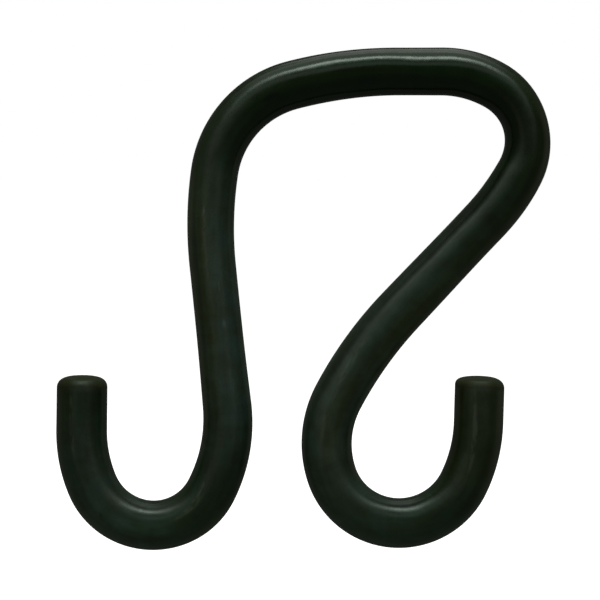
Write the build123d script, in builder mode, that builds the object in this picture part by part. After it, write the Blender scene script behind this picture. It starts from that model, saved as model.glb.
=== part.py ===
from build123d import *
import os

os.makedirs("parts", exist_ok=True)

# Bucket hook: one length of round steel rod, bent in a single plane and dipped in green plastic.
# The crown goes over a rail or a board. Each limb runs down from it and turns up into an open
# hook that takes the handle of a bucket.
#
# Frame: +Z up, as the hook hangs. The rod's centreline lies in the XZ plane, so Y is its thickness.
# The origin is the rail seat, the point on the underside of the crown that bears on the rail.
#
# Lengths are in millimetres. Radii are those of the rod's centreline. A fall is an angle from
# level and a lean is an angle from plumb, both in degrees, of the rod where a bend ends.

# Rod
rod_diameter = 12.0  # over its plastic coat
tip_edge_radius = 1.0  # the coat rounds the rim of each cut end

# Crown: the level run on each side of the rail seat
crown_run_left = 5.0
crown_run_right = 5.5

# Left limb, from the crown outwards
left_crown_radius = 105.0
left_crown_fall = 14.5
left_shoulder_radius = 26.0
left_shoulder_lean = 8.5  # short of plumb
left_bow_radius = 95.0
left_leg_lean = 5.5  # past plumb, so that the leg comes back under the crown
left_leg_length = 35.5
left_throat_radius = 40.0
left_throat_lean = 27.0
left_hook_radius = 16.5
left_hook_lean = 21.5
left_rise_radius = 36.0
left_tip_lean = 1.5  # past plumb, towards the leg
left_tip_length = 13.0

# Right limb, from the crown outwards
right_crown_radius = 27.0
right_crown_fall = 29.5
right_shoulder_radius = 16.0
right_shoulder_lean = 27.5  # past plumb
right_eave_radius = 54.0
diagonal_lean = 43.0  # past plumb, which carries the limb back under the crown
diagonal_length = 30.5
diagonal_bow_radius = 100.0
diagonal_bow_lean = 27.5
right_throat_radius = 26.0
right_throat_lean = 18.5
right_hook_radius = 18.0
right_hook_lean = 24.5
right_rise_radius = 39.0
right_tip_lean = 1.0  # short of plumb
right_tip_length = 11.0

PLUMB = 90.0
TURN_BACK = 180.0

crown_height = rod_diameter / 2


def bend(previous, radius, turn):
    """Carry the centreline on round an arc, tangent to the run before it."""
    return JernArc(start=previous @ 1, tangent=previous % 1, radius=radius, arc_size=turn)


def straight(previous, length):
    """Carry the centreline on in a straight run, in line with the run before it."""
    return PolarLine(start=previous @ 1, length=length, direction=previous % 1)


with BuildPart() as bucket_hook:
    with BuildLine(Plane.XZ) as centreline:
        # Left limb: turns to the left close the crown, turns to the right make the hook.
        left_run = Line((0, crown_height), (-crown_run_left, crown_height))
        left_crown = bend(left_run, left_crown_radius, left_crown_fall)
        left_shoulder_turn = PLUMB - left_crown_fall - left_shoulder_lean
        left_shoulder = bend(left_crown, left_shoulder_radius, left_shoulder_turn)
        left_bow = bend(left_shoulder, left_bow_radius, left_shoulder_lean + left_leg_lean)
        left_leg = straight(left_bow, left_leg_length)
        left_throat = bend(left_leg, left_throat_radius, -left_leg_lean - left_throat_lean)
        left_hook_turn = TURN_BACK - left_throat_lean - left_hook_lean
        left_hook = bend(left_throat, left_hook_radius, -left_hook_turn)
        left_rise = bend(left_hook, left_rise_radius, -left_hook_lean - left_tip_lean)
        left_tip = straight(left_rise, left_tip_length)

        # Right limb: the same with the turns the other way round.
        right_run = Line((0, crown_height), (crown_run_right, crown_height))
        right_crown = bend(right_run, right_crown_radius, -right_crown_fall)
        right_shoulder_turn = PLUMB - right_crown_fall + right_shoulder_lean
        right_shoulder = bend(right_crown, right_shoulder_radius, -right_shoulder_turn)
        right_eave = bend(right_shoulder, right_eave_radius, right_shoulder_lean - diagonal_lean)
        diagonal = straight(right_eave, diagonal_length)
        diagonal_bow = bend(diagonal, diagonal_bow_radius, diagonal_lean - diagonal_bow_lean)
        right_throat = bend(
            diagonal_bow, right_throat_radius, diagonal_bow_lean + right_throat_lean
        )
        right_hook_turn = TURN_BACK - right_throat_lean - right_hook_lean
        right_hook = bend(right_throat, right_hook_radius, right_hook_turn)
        right_rise = bend(right_hook, right_rise_radius, right_hook_lean - right_tip_lean)
        right_tip = straight(right_rise, right_tip_length)

    rod_path = centreline.wire()
    with BuildSketch(Plane(origin=rod_path @ 0, z_dir=rod_path % 0)):
        Circle(rod_diameter / 2)
    sweep(path=rod_path)

    cut_ends = bucket_hook.faces().filter_by(GeomType.PLANE)
    fillet(cut_ends.edges(), radius=tip_edge_radius)

bucket_hook.part.label = "bucket_hook"
export_step(bucket_hook.part, "parts/bucket_hook.step")

print(f"developed length of the rod {rod_path.length:.1f} mm")
print(f"volume of the rod {bucket_hook.part.volume / 1000:.1f} cm3")
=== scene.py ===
import math
from collections import namedtuple

import bpy
import numpy as np
from mathutils import Matrix, Vector


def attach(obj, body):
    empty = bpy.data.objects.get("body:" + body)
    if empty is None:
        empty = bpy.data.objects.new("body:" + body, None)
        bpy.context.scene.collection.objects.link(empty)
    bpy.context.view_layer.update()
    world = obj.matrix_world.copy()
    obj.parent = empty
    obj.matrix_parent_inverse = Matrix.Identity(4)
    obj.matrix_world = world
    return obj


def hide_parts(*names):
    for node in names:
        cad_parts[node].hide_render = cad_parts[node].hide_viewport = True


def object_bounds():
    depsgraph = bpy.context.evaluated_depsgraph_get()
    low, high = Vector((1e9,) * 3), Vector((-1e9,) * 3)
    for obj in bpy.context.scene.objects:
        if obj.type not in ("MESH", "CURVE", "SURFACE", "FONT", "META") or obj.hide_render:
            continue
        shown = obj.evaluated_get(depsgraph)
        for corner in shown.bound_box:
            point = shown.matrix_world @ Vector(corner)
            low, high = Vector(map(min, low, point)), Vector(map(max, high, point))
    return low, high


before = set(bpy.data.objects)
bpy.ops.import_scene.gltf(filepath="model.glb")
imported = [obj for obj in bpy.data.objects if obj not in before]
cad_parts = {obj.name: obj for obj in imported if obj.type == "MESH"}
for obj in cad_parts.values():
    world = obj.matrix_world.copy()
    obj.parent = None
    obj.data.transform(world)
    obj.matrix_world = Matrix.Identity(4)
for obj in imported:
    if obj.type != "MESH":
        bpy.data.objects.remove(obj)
cad_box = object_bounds()

# Bucket hook: a length of round steel rod bent in one plane and dipped in dark green plastic.
# The CAD frame holds it: +Z up as it hangs, the rod's plane is XZ, and the origin is the rail seat
# under the crown. The rod's lengths are in millimetres, the studio's in metres, and angles in degrees.
# A distance along the rod is measured from the left tip.
MM = 0.001

# ---------------------------------------------------------------------------
# The rod
# ---------------------------------------------------------------------------
ROD_RADIUS = 6.0
CROWN_HEIGHT = ROD_RADIUS
GIRTH = 2 * math.pi * ROD_RADIUS * MM

# From the crown outwards: (length,) is a straight run and (radius, turn) an arc of the centreline.
# A turn is positive to the left as the limb is followed. These are the sizes of the CAD part.
LEFT_LIMB = [
    (5.0,), (105.0, 14.5), (26.0, 67.0), (95.0, 14.0), (35.5,),
    (40.0, -32.5), (16.5, -131.5), (36.0, -23.0), (13.0,),
]
RIGHT_LIMB = [
    (5.5,), (27.0, -29.5), (16.0, -88.0), (54.0, -15.5), (30.5,),
    (100.0, 15.5), (26.0, 46.0), (18.0, 137.0), (39.0, 23.5), (11.0,),
]

# The coat is thicker towards the tips and thinnest round the tight shoulder: distance along the rod,
# and its diameter there in the plane of the bends. Measured on the photograph and rounded to 0.05.
COATED_DIAMETERS = [
    (0, 12.65), (34, 12.8), (46, 12.55), (66, 12.75), (84, 12.45), (98, 11.85), (150, 11.75), (182, 11.9),
    (204, 11.65), (226, 11.65), (240, 11.05), (256, 11.95), (276, 11.95), (292, 12.35), (378, 12.6),
    (416, 12.4),
]
ACROSS_SHARE = 0.30       # how much of that swelling the rod shows across the plane of its bends
# How light the coat is drawn: distance along the rod, and from 0.4 for the darkest to 1.7 for the palest.
# Partly painted light and shade: the crown and shoulder are drawn dark as if in shade, and the left leg
# and the lower right limb pale as if lit. Fitted to the photograph and rounded to 0.05.
COAT_TONE_AND_SHADE = [
    (0, 0.65), (32, 1.3), (64, 0.75), (98, 1.65), (130, 1.7), (160, 0.55), (190, 0.4), (230, 0.4),
    (256, 0.6), (320, 1.6), (384, 0.8), (416, 1.0),
]
WORN_LENGTH = 2.8         # of each tip that is rubbed

# The cut ends, left and right: rounding of the rim on its +X side, on its -X side, and front and back,
# how many degrees off square the +X side was cut lower, and what the coat adds to the length.
Tip = namedtuple("Tip", "rim_right rim_left rim_front tilt longer")
TIPS = (
    Tip(rim_right=2.1, rim_left=2.3, rim_front=1.1, tilt=0.3, longer=0.22),
    Tip(rim_right=2.3, rim_left=1.4, rim_front=1.1, tilt=-0.5, longer=0.03),
)
END_DOME = 0.20           # the coat stands a little proud in the middle of each cut end
TILT_REACH = 12.0         # how far from the tip the tilt of its cut fades out

# The mesh is a row of rings: on the face of each cut end, round its rim, and along the side.
RING_SIDES = 72
RING_STEP = 0.6
RIM_REACH = 2.6           # where the side rings start, past every rounding
RIM_STEPS = 8
FACE_RINGS = 5
INNER_RING = 0.35         # the smallest ring on a face, as a share of the step between them

ROD_MAP = "along_and_round"
TONE_AND_SHADE_LAYER = "coat_tone_and_shade"
WEAR_LAYER = "tip_wear"


def limb(heading, runs):
    """Points and headings along one limb, from the crown to its tip."""
    x, z = 0.0, CROWN_HEIGHT
    points, headings = [(x, z)], [heading]
    for run in runs:
        straight = len(run) == 1
        turn = 0.0 if straight else math.radians(run[1])
        length = run[0] if straight else run[0] * abs(turn)
        steps = max(2, math.ceil(length / RING_STEP))
        for k in range(1, steps + 1):
            now = heading + turn * k / steps
            if straight:
                px = x + math.cos(heading) * length * k / steps
                pz = z + math.sin(heading) * length * k / steps
            else:
                signed = math.copysign(run[0], turn)
                px = x + signed * (math.sin(now) - math.sin(heading))
                pz = z - signed * (math.cos(now) - math.cos(heading))
            points.append((px, pz))
            headings.append(now)
        x, z = points[-1]
        heading = headings[-1]
    return points, headings


def centreline():
    """The whole rod from the left tip to the right one: points, unit tangents, distances."""
    left_points, left_headings = limb(math.pi, LEFT_LIMB)
    right_points, right_headings = limb(0.0, RIGHT_LIMB)
    points = np.array(left_points[::-1] + right_points[1:])
    headings = np.array([h + math.pi for h in left_headings[::-1]] + right_headings[1:])
    tangents = np.stack([np.cos(headings), np.sin(headings)], axis=1)
    gaps = np.hypot(*np.diff(points, axis=0).T)
    return points, tangents, np.concatenate([[0.0], np.cumsum(gaps)])


def smooth_table(table, at):
    """A smooth curve through a table of (place, value), read at these places."""
    places, values = np.array(table, float).T
    slopes = np.gradient(values, places)
    k = np.clip(np.searchsorted(places, at, side="right") - 1, 0, len(places) - 2)
    gap = places[k + 1] - places[k]
    t = np.clip((at - places[k]) / gap, 0.0, 1.0)
    return (
        values[k] * (1 + 2 * t) * (1 - t) ** 2 + values[k + 1] * t * t * (3 - 2 * t)
        + gap * t * (1 - t) * (slopes[k] * (1 - t) - slopes[k + 1] * t)
    )


def ring_row(along):
    """The rings from left to right: place along the rod, kind, and how far through that kind it is."""
    total = along[-1]
    face_shares = [(k + INNER_RING) / FACE_RINGS for k in range(FACE_RINGS)]
    rim_shares = [k / RIM_STEPS for k in range(RIM_STEPS + 1)]
    row = [(0.0, "face", share) for share in face_shares]
    row += [(0.0, "rim", share) for share in rim_shares]
    row += [(place, "side", 1.0) for place in along[(along > RIM_REACH) & (along < total - RIM_REACH)]]
    row += [(total, "rim", share) for share in reversed(rim_shares)]
    row += [(total, "face", share) for share in reversed(face_shares)]
    return row


def ring_point(tip, kind, share, side, angle, in_plane, across):
    """Where a ring's point lies: left of the centreline, behind it, and out past the ring's place."""
    rim = (tip.rim_right + tip.rim_left) / 2 + side * (tip.rim_right - tip.rim_left) / 2
    rim += (tip.rim_front - rim) * math.sin(angle) ** 2
    if kind == "face":
        a, b = (in_plane - rim) * share, (across - rim) * share
        past = tip.longer + END_DOME * (1 - share * share)
    elif kind == "rim":
        turn = math.pi / 2 * share
        inset = rim * (1 - math.sin(turn))
        a, b = in_plane - inset, across - inset
        past = tip.longer - rim * (1 - math.cos(turn))
    else:
        a, b, past = in_plane, across, 0.0
    return a * math.cos(angle), b * math.sin(angle), past


def ring_faces(ring_count):
    """Quads between the rings, and a fan of triangles from the middle of each cut end."""
    edges = [(k, (k + 1) % RING_SIDES) for k in range(RING_SIDES)]
    left_middle = ring_count * RING_SIDES
    last_ring = left_middle - RING_SIDES
    faces = [
        (a + k, a + RING_SIDES + k, a + RING_SIDES + n, a + n)
        for a in range(0, last_ring, RING_SIDES)
        for k, n in edges
    ]
    faces += [(left_middle, k, n) for k, n in edges]
    faces += [(left_middle + 1, last_ring + n, last_ring + k) for k, n in edges]
    return faces


def unroll(mesh, row, lengthwise, flat):
    """Map the coat along and round the rod, and the face of each cut end flat."""
    body = len(row) * RING_SIDES                  # the vertices before the two middle ones
    on_face = [kind == "face" for _, kind, _ in row]
    layer = mesh.uv_layers.new(name=ROD_MAP)
    for polygon in mesh.polygons:
        corners = list(polygon.vertices)
        if all(c >= body or on_face[c // RING_SIDES] for c in corners):
            spots = [flat[c] for c in corners]
        else:
            steps = [c % RING_SIDES for c in corners]
            if RING_SIDES - 1 in steps:           # the last strip ends where the first one starts
                steps = [step or RING_SIDES for step in steps]
            spots = [(lengthwise[c], step / RING_SIDES * GIRTH) for c, step in zip(corners, steps)]
        for loop, spot in zip(polygon.loop_indices, spots):
            layer.data[loop].uv = spot


def point_layer(mesh, name, ring_values, middle_values):
    """Store a value for each vertex, from one for each ring and one for the middle of each cut end."""
    values = np.concatenate([np.repeat(ring_values, RING_SIDES), middle_values])
    layer = mesh.attributes.new(name, "FLOAT", "POINT")
    layer.data.foreach_set("value", values.astype(np.float32))


def rod_mesh(name):
    """The coated rod as one closed tube with a rounded rim and a slightly domed face at each cut end."""
    points, tangents, along = centreline()
    total = along[-1]
    row = ring_row(along)
    places = np.array([place for place, _, _ in row])
    px, pz = (np.interp(places, along, points[:, i]) for i in (0, 1))
    tx, tz = (np.interp(places, along, tangents[:, i]) for i in (0, 1))
    size = np.hypot(tx, tz)
    tx, tz = tx / size, tz / size
    in_plane = smooth_table(COATED_DIAMETERS, places) / 2
    across = ROD_RADIUS + (in_plane - ROD_RADIUS) * ACROSS_SHARE

    def beside_rod(j, u, v, past):
        """The point u to the left of ring j's middle, v behind it and past it along the rod."""
        x = px[j] - tz[j] * u + tx[j] * past
        z = pz[j] + tx[j] * u + tz[j] * past
        return x * MM, v * MM, z * MM

    vertices, lengthwise, flat = [], [], []
    for j, (place, kind, share) in enumerate(row):
        right_end = place >= total / 2
        outward = 1 if right_end else -1
        tip = TIPS[right_end]
        to_end = total - place if right_end else place
        lean = math.tan(math.radians(tip.tilt)) * max(0.0, 1 - to_end / TILT_REACH) ** 2
        for k in range(RING_SIDES):
            angle = 2 * math.pi * k / RING_SIDES
            side = -outward * math.cos(angle)     # 1 towards +X at both tips
            u, v, past = ring_point(tip, kind, share, side, angle, in_plane[j], across[j])
            past = (past - lean * side * abs(u)) * outward
            vertices.append(beside_rod(j, u, v, past))
            lengthwise.append((place + past) * MM)
            flat.append(((place + u) * MM, v * MM))
    for j, outward, tip in ((0, -1, TIPS[0]), (len(row) - 1, 1, TIPS[1])):
        vertices.append(beside_rod(j, 0.0, 0.0, (END_DOME + tip.longer) * outward))
        flat.append((places[j] * MM, 0.0))

    mesh = bpy.data.meshes.new(name)
    mesh.from_pydata(vertices, [], ring_faces(len(row)))
    unroll(mesh, row, lengthwise, flat)
    # The tone table along the rod, partly painted shade on the crown and painted light on the legs.
    tone_and_shade = smooth_table(COAT_TONE_AND_SHADE, places)
    point_layer(mesh, TONE_AND_SHADE_LAYER, tone_and_shade, tone_and_shade[[0, -1]])
    wear = np.clip(1 - np.minimum(places, total - places) / WORN_LENGTH, 0.0, 1.0)
    point_layer(mesh, WEAR_LAYER, wear, [1.0, 1.0])
    mesh.validate()
    mesh.update()
    for polygon in mesh.polygons:
        polygon.use_smooth = True
    return mesh


# ---------------------------------------------------------------------------
# Shader nodes
# ---------------------------------------------------------------------------
class Nodes:
    """Short calls for making and linking shader nodes."""

    def __init__(self, tree):
        self.tree = tree
        tree.nodes.clear()

    def add(self, kind, **values):
        node = self.tree.nodes.new(kind)
        for name, value in values.items():
            setattr(node, name, value)
        return node

    def link(self, source, target):
        self.tree.links.new(source, target)

    def noise(self, vector, scale, detail=3.0, roughness=0.5, distortion=0.0):
        node = self.add("ShaderNodeTexNoise")
        self.link(vector, node.inputs["Vector"])
        node.inputs["Scale"].default_value = scale
        node.inputs["Detail"].default_value = detail
        node.inputs["Roughness"].default_value = roughness
        node.inputs["Distortion"].default_value = distortion
        return node.outputs["Fac"]

    def attribute(self, name):
        return self.add("ShaderNodeAttribute", attribute_name=name).outputs["Fac"]

    def math(self, operation, first, second=None):
        node = self.add("ShaderNodeMath", operation=operation)
        for socket, value in zip(node.inputs, (first, second)):
            if isinstance(value, (int, float)):
                socket.default_value = value
            elif value is not None:
                self.link(value, socket)
        return node.outputs["Value"]

    def vector(self, operation, first, second=None, output="Vector"):
        node = self.add("ShaderNodeVectorMath", operation=operation)
        self.link(first, node.inputs[0])
        if second is not None:
            node.inputs[1].default_value = second
        return node.outputs[output]

    def scaled(self, vector, by):
        node = self.add("ShaderNodeVectorMath", operation="SCALE")
        self.link(vector, node.inputs[0])
        self.link(by, node.inputs["Scale"])
        return node.outputs["Vector"]

    def spread(self, value, low, high, to_low=0.0, to_high=1.0, linear=False):
        """Carry the range from low to high over to another one, and hold it at the ends."""
        node = self.add("ShaderNodeMapRange", interpolation_type="LINEAR" if linear else "SMOOTHSTEP")
        self.link(value, node.inputs["Value"])
        for name, number in (("From Min", low), ("From Max", high), ("To Min", to_low), ("To Max", to_high)):
            node.inputs[name].default_value = number
        return node.outputs["Result"]

    def mix(self, factor, first, second):
        node = self.add("ShaderNodeMix", data_type="RGBA")
        self.link(factor, node.inputs["Factor"])
        for socket, colour in ((node.inputs[6], first), (node.inputs[7], second)):
            if isinstance(colour, tuple):
                socket.default_value = (*colour, 1.0)
            else:
                self.link(colour, socket)
        return node.outputs[2]

    def seen(self):
        """1 for rays that show a surface to the eye, and 0 for those that only carry its light."""
        rays = self.add("ShaderNodeLightPath").outputs
        shown = self.math("MAXIMUM", rays["Is Camera Ray"], rays["Is Glossy Ray"])
        return self.math("MAXIMUM", shown, rays["Is Transmission Ray"])


# ---------------------------------------------------------------------------
# The coat's material
# ---------------------------------------------------------------------------
# Thick coat is a soft grey green that strays to olive and teal, and thinner coat a deep green.
# The deep green ends also stand as painted shade where the tone table darkens the crown.
THICK_COAT = (0.0234, 0.0414, 0.0271)
OLIVE_COAT = (0.0323, 0.0403, 0.0157)
TEAL_COAT = (0.0236, 0.0409, 0.0326)
THIN_COAT_AND_SHADE = (0.0024, 0.0106, 0.0008)
THIN_OLIVE_COAT_AND_SHADE = (0.0049, 0.0100, 0.0007)
RUBBED_COAT = (0.0200, 0.0228, 0.0090)
# The pale green that is painted into the coat as highlight streaks.
PAINTED_HIGHLIGHT_TINT = (0.066, 0.074, 0.050)
PALE_MARK = (0.090, 0.115, 0.105)
DARK_MARK = (0.0030, 0.0040, 0.0028)

SPECULAR_LEVEL = 0.385
SPECULAR_TINT = (0.81, 1.0, 0.86, 1.0)
ANISOTROPY = 0.9
RUBBED_ROUGHNESS = 0.38   # what rubbing adds to the tips' roughness

# Heights of the coat's relief, in metres
WAVE_HEIGHT = 0.00075
RING_HEIGHT = 0.000009
PEEL_HEIGHT = 0.00003

# How a noise is drawn out or pressed together: along the rod, and in both directions across it
STREAK_STRETCH = (0.14, 1.0, 1.0)
BROKEN_STRETCH = (0.3, 1.0, 1.0)
RING_STRETCH = (1.0, 0.12, 0.12)

# Marks and tints on the coat: distance along the rod, degrees round it (0 is its left side and 270
# faces the front), and half its length and half its width in millimetres.
OLIVE_ZONES = [
    (116, 320, 48, 8), (404, 285, 26, 15), (3, 205, 24, 8), (280, 326, 52, 9), (330, 275, 18, 3),
    (246, 318, 22, 10),
]
TEAL_ZONES = [
    (22, 262, 18, 5), (108, 245, 46, 9), (372, 240, 26, 9), (46, 240, 14, 8), (276, 262, 34, 4),
    (36, 300, 26, 8), (364, 295, 20, 9),
]
PALE_MARKS = [(137.6, 285, 1.6, 0.4), (119.5, 256, 4.5, 0.35), (109, 253, 2.0, 0.7)]
# Painted highlights: pale streaks where the coat's sheen catches a lamp along the rod, drawn into its
# colour.
PAINTED_HIGHLIGHT_STREAKS = [
    (127, 281, 16, 0.75), (62, 290, 12, 1.0), (317, 249, 11, 0.9), (326, 253.5, 16, 0.9),
    (402, 283, 15, 0.9), (11, 254, 11, 0.7),
]
STREAK_LEAN = 2.3         # degrees that streaks and pale marks lie off the rod's own line
DARK_MARKS = [(34, 262, 0.8, 0.6), (196, 250, 5.0, 1.2), (171, 262, 3.5, 1.0), (215, 240, 4, 1)]
# The same for painted light and shade: where the coat is drawn lighter or darker than around it, and by what
# share.
# They lighten the undersides and lower rims of the J hooks and the lower right flank as painted light, and
# darken the crown, the right shoulder, a line down the left leg, and the sheen high in the J hooks and along
# the diagonal's rim as painted shade.
PAINTED_LIGHT_AND_SHADE_ZONES = [
    (46, 210, 28, 10, 1.05), (364, 210, 28, 10, 0.95), (288, 330, 50, 9, 0.55), (288, 268, 40, 6, -0.10),
    (122, 262, 34, 5, 0.12), (121, 313, 28, 1.3, -0.38), (238, 232, 18, 7, -0.25), (198, 258, 36, 5, -0.18),
    (290, 221, 56, 3.6, -0.42), (46, 328, 13, 3.2, -0.45), (366, 328, 13, 3.2, -0.45),
    (388, 211, 9, 3.0, 0.55), (60, 211, 9, 3.0, 0.55), (28, 206, 8, 2.2, 0.35),
]
MARK_CORE = 0.35          # share of a mark that is at full strength before it fades


def rod_space(n, unrolled):
    """The map along and round the rod, wrapped back into a space without a seam."""
    split = n.add("ShaderNodeSeparateXYZ")
    n.link(unrolled, split.inputs[0])
    turn = n.math("MULTIPLY", split.outputs["Y"], 2 * math.pi / GIRTH)
    joined = n.add("ShaderNodeCombineXYZ")
    n.link(split.outputs["X"], joined.inputs["X"])
    n.link(n.math("MULTIPLY", n.math("COSINE", turn), ROD_RADIUS * MM), joined.inputs["Y"])
    n.link(n.math("MULTIPLY", n.math("SINE", turn), ROD_RADIUS * MM), joined.inputs["Z"])
    return joined.outputs["Vector"]


def mark(n, unrolled, at, lean=0.0):
    """1 inside an oval on the coat, fading to 0 at its edge."""
    along, degrees, half_length, half_width = at
    centre = (along * MM, degrees / 360 * GIRTH, 0.0)
    turned = n.add("ShaderNodeVectorRotate", rotation_type="Z_AXIS")
    n.link(unrolled, turned.inputs["Vector"])
    turned.inputs["Center"].default_value = centre
    turned.inputs["Angle"].default_value = -math.radians(lean)
    offset = n.vector("SUBTRACT", turned.outputs["Vector"], centre)
    shares = n.vector("DIVIDE", offset, (half_length * MM, half_width * MM, 1.0))
    reach = n.vector("LENGTH", shares, output="Value")
    return n.spread(reach, MARK_CORE, 1.0, 1.0, 0.0)


def marks(n, unrolled, places, lean=0.0):
    """The strongest of several marks."""
    found = mark(n, unrolled, places[0], lean)
    for at in places[1:]:
        found = n.math("MAXIMUM", found, mark(n, unrolled, at, lean))
    return found


def drifting_colour(n, unrolled, tone_and_shade, blotches, streaks):
    """The coat's colour from the tone table, with its painted shade and light, and its drift to olive and
    teal.
    """
    olive_zones = marks(n, unrolled, OLIVE_ZONES)
    teal_zones = marks(n, unrolled, TEAL_ZONES)
    to_olive = n.math(
        "ADD",
        n.math("MULTIPLY", olive_zones, n.spread(streaks, 0.36, 0.60, 0.45, 0.95)),
        n.spread(streaks, 0.36, 0.60, 0.02, 0.38),
    )
    to_teal = n.math(
        "ADD",
        n.math("MULTIPLY", teal_zones, n.spread(blotches, 0.40, 0.60, 0.20, 0.80)),
        n.spread(blotches, 0.40, 0.60, 0.0, 0.34),
    )
    beside_olive = n.math("SUBTRACT", 1.0, n.math("MULTIPLY", olive_zones, 0.7))
    to_teal = n.math("MULTIPLY", to_teal, beside_olive)
    thin_and_shade = n.mix(n.math("MAXIMUM", n.spread(streaks, 0.4, 0.6), olive_zones), THIN_COAT_AND_SHADE, THIN_OLIVE_COAT_AND_SHADE)
    thick = n.mix(to_teal, n.mix(to_olive, THICK_COAT, OLIVE_COAT), TEAL_COAT)
    return n.mix(n.spread(tone_and_shade, 0.38, 1.75, linear=True), thin_and_shade, thick)


def uneven_tone_and_painted_light(n, unrolled, blotches, streaks, rings):
    """How much lighter or darker the coat is drawn: random blotches, rings and streaks, and the zones'
    painted light and shade.
    """
    blotchy = n.spread(blotches, 0.3, 0.7, 0.82, 1.18)
    shade = n.math("MULTIPLY", blotchy, n.spread(rings, 0.3, 0.7, 0.94, 1.06))
    shade = n.math("MULTIPLY", shade, n.spread(streaks, 0.3, 0.7, 1.18, 0.82))
    # Painted light and shade from the zones, multiplied into the colour.
    for *zone, share in PAINTED_LIGHT_AND_SHADE_ZONES:
        here = mark(n, unrolled, zone)
        shade = n.math("MULTIPLY", shade, n.spread(here, 0.0, 1.0, 1.0, 1.0 + share, linear=True))
    return shade


def coat_relief(n, place, along_rod, rings):
    """Long waves from the dipping, fine rings across the rod, and orange peel."""
    normal = None
    for height, distance in (
        (n.noise(along_rod, 62.0, detail=1.0), WAVE_HEIGHT),
        (rings, RING_HEIGHT),
        (n.noise(place, 520.0, detail=2.0), PEEL_HEIGHT),
    ):
        bump = n.add("ShaderNodeBump")
        bump.inputs["Strength"].default_value = 1.0
        bump.inputs["Distance"].default_value = distance
        n.link(height, bump.inputs["Height"])
        if normal:
            n.link(normal, bump.inputs["Normal"])
        normal = bump.outputs["Normal"]
    return normal


def coat_material():
    """Satin dark green plastic, uneven from its dipping and with painted light, shade and highlight streaks,
    rubbed tips and a few marks.
    """
    material = bpy.data.materials.new("plastic_coat")
    material.use_nodes = True
    n = Nodes(material.node_tree)
    place = n.add("ShaderNodeTexCoord").outputs["Object"]
    unrolled = n.add("ShaderNodeUVMap", uv_map=ROD_MAP).outputs["UV"]
    along_rod = rod_space(n, unrolled)
    blotches = n.noise(place, 190.0, detail=4.0, roughness=0.6, distortion=0.3)
    streaks = n.noise(n.vector("MULTIPLY", along_rod, STREAK_STRETCH), 420.0, roughness=0.6)
    rings = n.noise(n.vector("MULTIPLY", along_rod, RING_STRETCH), 620.0, roughness=0.7)
    broken = n.spread(n.noise(n.vector("MULTIPLY", along_rod, BROKEN_STRETCH), 1100.0), 0.36, 0.64)
    tone_and_shade = n.attribute(TONE_AND_SHADE_LAYER)
    wear = n.spread(n.attribute(WEAR_LAYER), 0.2, 1.0)
    rubbed = n.math("MULTIPLY", wear, n.spread(blotches, 0.35, 0.6, 0.40, 0.85))

    colour = drifting_colour(n, unrolled, tone_and_shade, blotches, streaks)
    colour = n.scaled(colour, uneven_tone_and_painted_light(n, unrolled, blotches, streaks, rings))
    colour = n.mix(rubbed, colour, RUBBED_COAT)
    # Painted highlight streaks first, then pale and dark marks, each mixed into the colour.
    for places, lean, strength, tint in (
        (PAINTED_HIGHLIGHT_STREAKS, STREAK_LEAN, 0.55, PAINTED_HIGHLIGHT_TINT),
        (PALE_MARKS, STREAK_LEAN, 0.5, PALE_MARK),
        (DARK_MARKS, 0.0, 1.0, DARK_MARK),
    ):
        share = n.math("MULTIPLY", marks(n, unrolled, places, lean), n.math("MULTIPLY", broken, strength))
        colour = n.mix(share, colour, tint)

    gloss = n.spread(n.noise(place, 260.0, detail=4.0, roughness=0.6), 0.3, 0.7, 0.29, 0.37)
    gloss = n.math("MULTIPLY", gloss, n.spread(tone_and_shade, 0.4, 1.1, 0.87, 1.14, linear=True))
    roughness = n.math("ADD", gloss, n.math("MULTIPLY", rubbed, RUBBED_ROUGHNESS))
    grain = n.add("ShaderNodeTangent", direction_type="UV_MAP", uv_map=ROD_MAP)

    shader = n.add("ShaderNodeBsdfPrincipled")
    shader.inputs["Specular IOR Level"].default_value = SPECULAR_LEVEL
    shader.inputs["Specular Tint"].default_value = SPECULAR_TINT
    shader.inputs["Anisotropic"].default_value = ANISOTROPY
    n.link(colour, shader.inputs["Base Color"])
    n.link(roughness, shader.inputs["Roughness"])
    n.link(grain.outputs["Tangent"], shader.inputs["Tangent"])
    n.link(coat_relief(n, place, along_rod, rings), shader.inputs["Normal"])
    n.link(shader.outputs["BSDF"], n.add("ShaderNodeOutputMaterial").inputs["Surface"])
    return material


def add_to_scene(name, data):
    """A new object with this data, linked to the scene."""
    obj = bpy.data.objects.new(name, data)
    bpy.context.scene.collection.objects.link(obj)
    return obj


hook = add_to_scene("bent_coated_rod", rod_mesh("bent_coated_rod"))
hook.data.materials.append(coat_material())
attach(hook, "root")
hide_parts("bucket_hook")

# ---------------------------------------------------------------------------
# The camera
# ---------------------------------------------------------------------------
CAMERA_AIM = Vector((-29.33, 0.0, -50.57)) * MM
CAMERA_DISTANCE = 0.400
CAMERA_ELEVATION = 6.5
CAMERA_LENS = 96.0
CAMERA_CLIP = 0.01


def direction(azimuth, elevation):
    """Unit vector from the hook: azimuth 0 is towards the camera and 90 towards +X."""
    a, e = math.radians(azimuth), math.radians(elevation)
    return Vector((math.cos(e) * math.sin(a), -math.cos(e) * math.cos(a), math.sin(e)))


camera = add_to_scene("camera", bpy.data.cameras.new("camera"))
camera.data.lens = CAMERA_LENS
camera.data.clip_start = CAMERA_CLIP
camera.location = CAMERA_AIM + direction(0, CAMERA_ELEVATION) * CAMERA_DISTANCE
camera.rotation_mode = "QUATERNION"
camera.rotation_quaternion = (-direction(0, CAMERA_ELEVATION)).to_track_quat("-Z", "Y")
bpy.context.scene.camera = camera

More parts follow.
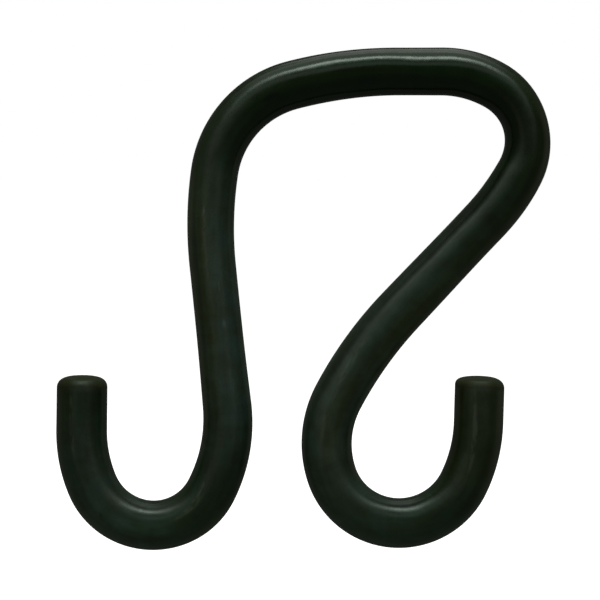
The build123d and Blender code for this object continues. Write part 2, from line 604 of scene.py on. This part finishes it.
# ---------------------------------------------------------------------------
# The lamps
# ---------------------------------------------------------------------------
NEUTRAL, WARM, COOL = (1.0, 1.0, 1.0), (1.0, 0.90, 0.66), (0.92, 1.0, 1.0)
LAMPS = [
    # name, azimuth, elevation, distance, width, height, roll, radiance, colour
    ("top_strip", 10.0, 73.0, 0.90, 0.70, 0.18, -10.0, 9.0, NEUTRAL),
    ("overhead", 0.0, 86.0, 0.90, 1.30, 0.90, 0.0, 0.85, NEUTRAL),
    ("front_high", 5.0, 42.0, 0.90, 1.30, 0.28, 0.0, 0.62, COOL),
    ("left_low", -34.0, 11.0, 0.90, 0.38, 0.84, 23.0, 0.20, WARM),
    ("right_low", 43.0, 17.0, 0.90, 0.40, 0.90, -18.0, 0.08, COOL),
    ("back", 170.0, 60.0, 0.90, 0.49, 0.51, 28.0, 1.05, NEUTRAL),
    ("back_fill", 180.0, 15.0, 0.90, 1.20, 0.80, 0.0, 0.32, NEUTRAL),
    ("left_side", -104.0, 12.0, 0.90, 0.50, 0.80, 0.0, 0.05, WARM),
    ("right_side", 102.0, 2.0, 0.90, 0.50, 0.80, 0.0, 0.11, WARM),
    ("left_high", -55.0, 52.0, 0.68, 0.233, 0.50, 29.0, 0.5, NEUTRAL),
    ("right_high", 42.0, 54.0, 0.90, 0.16, 0.16, 0.0, 2.5, NEUTRAL),
]
UNMIRRORED_LAMP = "back_fill"    # its mirror image would veil the cut ends


def lamp(name, azimuth, elevation, distance, width, height, roll, radiance, colour):
    """A soft rectangular lamp that faces the hook. Radiance 1 would show as white."""
    light = bpy.data.lights.new(name, "AREA")
    light.shape = "RECTANGLE"
    light.size, light.size_y = width, height
    light.energy = radiance * math.pi * width * height
    light.color = colour
    away = direction(azimuth, elevation)
    right = Vector((math.cos(math.radians(azimuth)), math.sin(math.radians(azimuth)), 0.0))
    up = away.cross(right)
    up = up if up.z > 0 else -up
    x_axis = right * math.cos(math.radians(roll)) + up * math.sin(math.radians(roll))
    obj = add_to_scene(name, light)
    obj.location = CAMERA_AIM + away * distance
    obj.rotation_mode = "QUATERNION"
    obj.rotation_quaternion = Matrix((x_axis, away.cross(x_axis), away)).transposed().to_quaternion()
    obj.visible_camera = False
    obj.visible_glossy = name != UNMIRRORED_LAMP


for lamp_values in LAMPS:
    lamp(*lamp_values)

# ---------------------------------------------------------------------------
# The tent, the floor and the room
# ---------------------------------------------------------------------------
TENT_RADIUS = 1.5
TENT_SEGMENTS = 48
TENT_LAYERS = 24
TENT_COLOUR = (0.93, 1.0, 0.86)
GLOW_BELOW = 0.110
GLOW_ABOVE = 0.055
DIM_SIDE = (180.0, -34.0)   # azimuth and elevation of the middle of its dimmer part
DIM_EDGE = 0.72             # cosine of the angle off that direction where the dimming starts
DIM_CORE = 0.95             # and where it is complete
DIM_SHARE = 0.5

FLOOR_DROP = 0.14           # below the lowest point of the hook
FLOOR_SIZE = 12.0
FLOOR_GREY = (0.8, 0.8, 0.8, 1.0)
SHADOW_CORE = 0.16          # distance up to which the floor's own glow stays low, to show a shadow
SHADOW_EDGE = 0.60          # and where it is full
SHADOW_GLOW = 0.46


def tent_cloth():
    """Cloth that glows by itself, graded from bottom to top, and dimmer low down at the back."""
    material = bpy.data.materials.new("tent_cloth")
    material.use_nodes = True
    material.cycles.emission_sampling = "NONE"
    n = Nodes(material.node_tree)
    place = n.add("ShaderNodeTexCoord").outputs["Object"]
    split = n.add("ShaderNodeSeparateXYZ")
    n.link(place, split.inputs[0])
    graded = n.spread(split.outputs["Z"], -TENT_RADIUS, TENT_RADIUS, GLOW_BELOW, GLOW_ABOVE, linear=True)
    facing = n.vector("DOT_PRODUCT", place, direction(*DIM_SIDE) / TENT_RADIUS, output="Value")
    dim = n.spread(facing, DIM_EDGE, DIM_CORE, 1.0, DIM_SHARE)
    glow = n.add("ShaderNodeEmission")
    glow.inputs["Color"].default_value = (*TENT_COLOUR, 1.0)
    n.link(n.math("MULTIPLY", graded, dim), glow.inputs["Strength"])
    n.link(glow.outputs["Emission"], n.add("ShaderNodeOutputMaterial").inputs["Surface"])
    return material


def ball(name, radius, across, up):
    """A plain sphere of quads and end triangles."""
    vertices = []
    for i in range(1, up):
        height = radius * math.cos(math.pi * i / up)
        reach = radius * math.sin(math.pi * i / up)
        for k in range(across):
            turn = 2 * math.pi * k / across
            vertices.append((reach * math.cos(turn), reach * math.sin(turn), height))
    last = len(vertices) - across
    top, bottom = len(vertices), len(vertices) + 1
    vertices += [(0, 0, radius), (0, 0, -radius)]
    edges = [(k, (k + 1) % across) for k in range(across)]
    faces = [
        (a + k, a + n, a + across + n, a + across + k)
        for a in range(0, last, across)
        for k, n in edges
    ]
    faces += [(top, n, k) for k, n in edges]
    faces += [(bottom, last + k, last + n) for k, n in edges]
    mesh = bpy.data.meshes.new(name)
    mesh.from_pydata(vertices, [], faces)
    return mesh


def floor_material():
    """Pale grey, and white to the eye away from the hook's shadow."""
    material = bpy.data.materials.new("pale_floor")
    material.use_nodes = True
    material.cycles.emission_sampling = "NONE"
    n = Nodes(material.node_tree)
    away = n.vector("LENGTH", n.add("ShaderNodeTexCoord").outputs["Object"], output="Value")
    lift = n.spread(away, SHADOW_CORE, SHADOW_EDGE, SHADOW_GLOW, 1.0)
    glow = n.add("ShaderNodeEmission")
    n.link(n.math("MULTIPLY", n.seen(), lift), glow.inputs["Strength"])
    matt = n.add("ShaderNodeBsdfDiffuse")
    matt.inputs["Color"].default_value = FLOOR_GREY
    both = n.add("ShaderNodeAddShader")
    n.link(matt.outputs["BSDF"], both.inputs[0])
    n.link(glow.outputs["Emission"], both.inputs[1])
    # From below it is clear, so that the hook can be seen from there.
    clear = n.add("ShaderNodeBsdfTransparent")
    faced = n.add("ShaderNodeMixShader")
    n.link(n.add("ShaderNodeNewGeometry").outputs["Backfacing"], faced.inputs["Fac"])
    n.link(both.outputs[0], faced.inputs[1])
    n.link(clear.outputs["BSDF"], faced.inputs[2])
    n.link(faced.outputs[0], n.add("ShaderNodeOutputMaterial").inputs["Surface"])
    return material


def white_room():
    """A world that is white to the eye and gives matt surfaces no light."""
    world = bpy.data.worlds.new("white_room")
    world.use_nodes = True
    n = Nodes(world.node_tree)
    background = n.add("ShaderNodeBackground")
    background.inputs["Color"].default_value = (1, 1, 1, 1)
    n.link(n.seen(), background.inputs["Strength"])
    n.link(background.outputs[0], n.add("ShaderNodeOutputWorld").inputs["Surface"])
    return world


# The studio is a dim grey tent that the coat mirrors and the camera looks through.
tent = add_to_scene("tent", ball("tent", TENT_RADIUS, TENT_SEGMENTS, TENT_LAYERS))
tent.location = CAMERA_AIM
tent.data.materials.append(tent_cloth())
tent.visible_camera = False
tent.visible_shadow = False

half = FLOOR_SIZE / 2
floor_corners = [(-half, -half, 0), (half, -half, 0), (half, half, 0), (-half, half, 0)]
floor_mesh = bpy.data.meshes.new("floor")
floor_mesh.from_pydata(floor_corners, [], [(0, 1, 2, 3)])
floor_mesh.materials.append(floor_material())
floor = add_to_scene("floor", floor_mesh)
floor.location = (CAMERA_AIM.x, 0.0, cad_box[0].z - FLOOR_DROP)
floor.visible_glossy = False
floor.visible_diffuse = False

bpy.context.scene.world = white_room()
bpy.context.scene.view_settings.view_transform = "Standard"
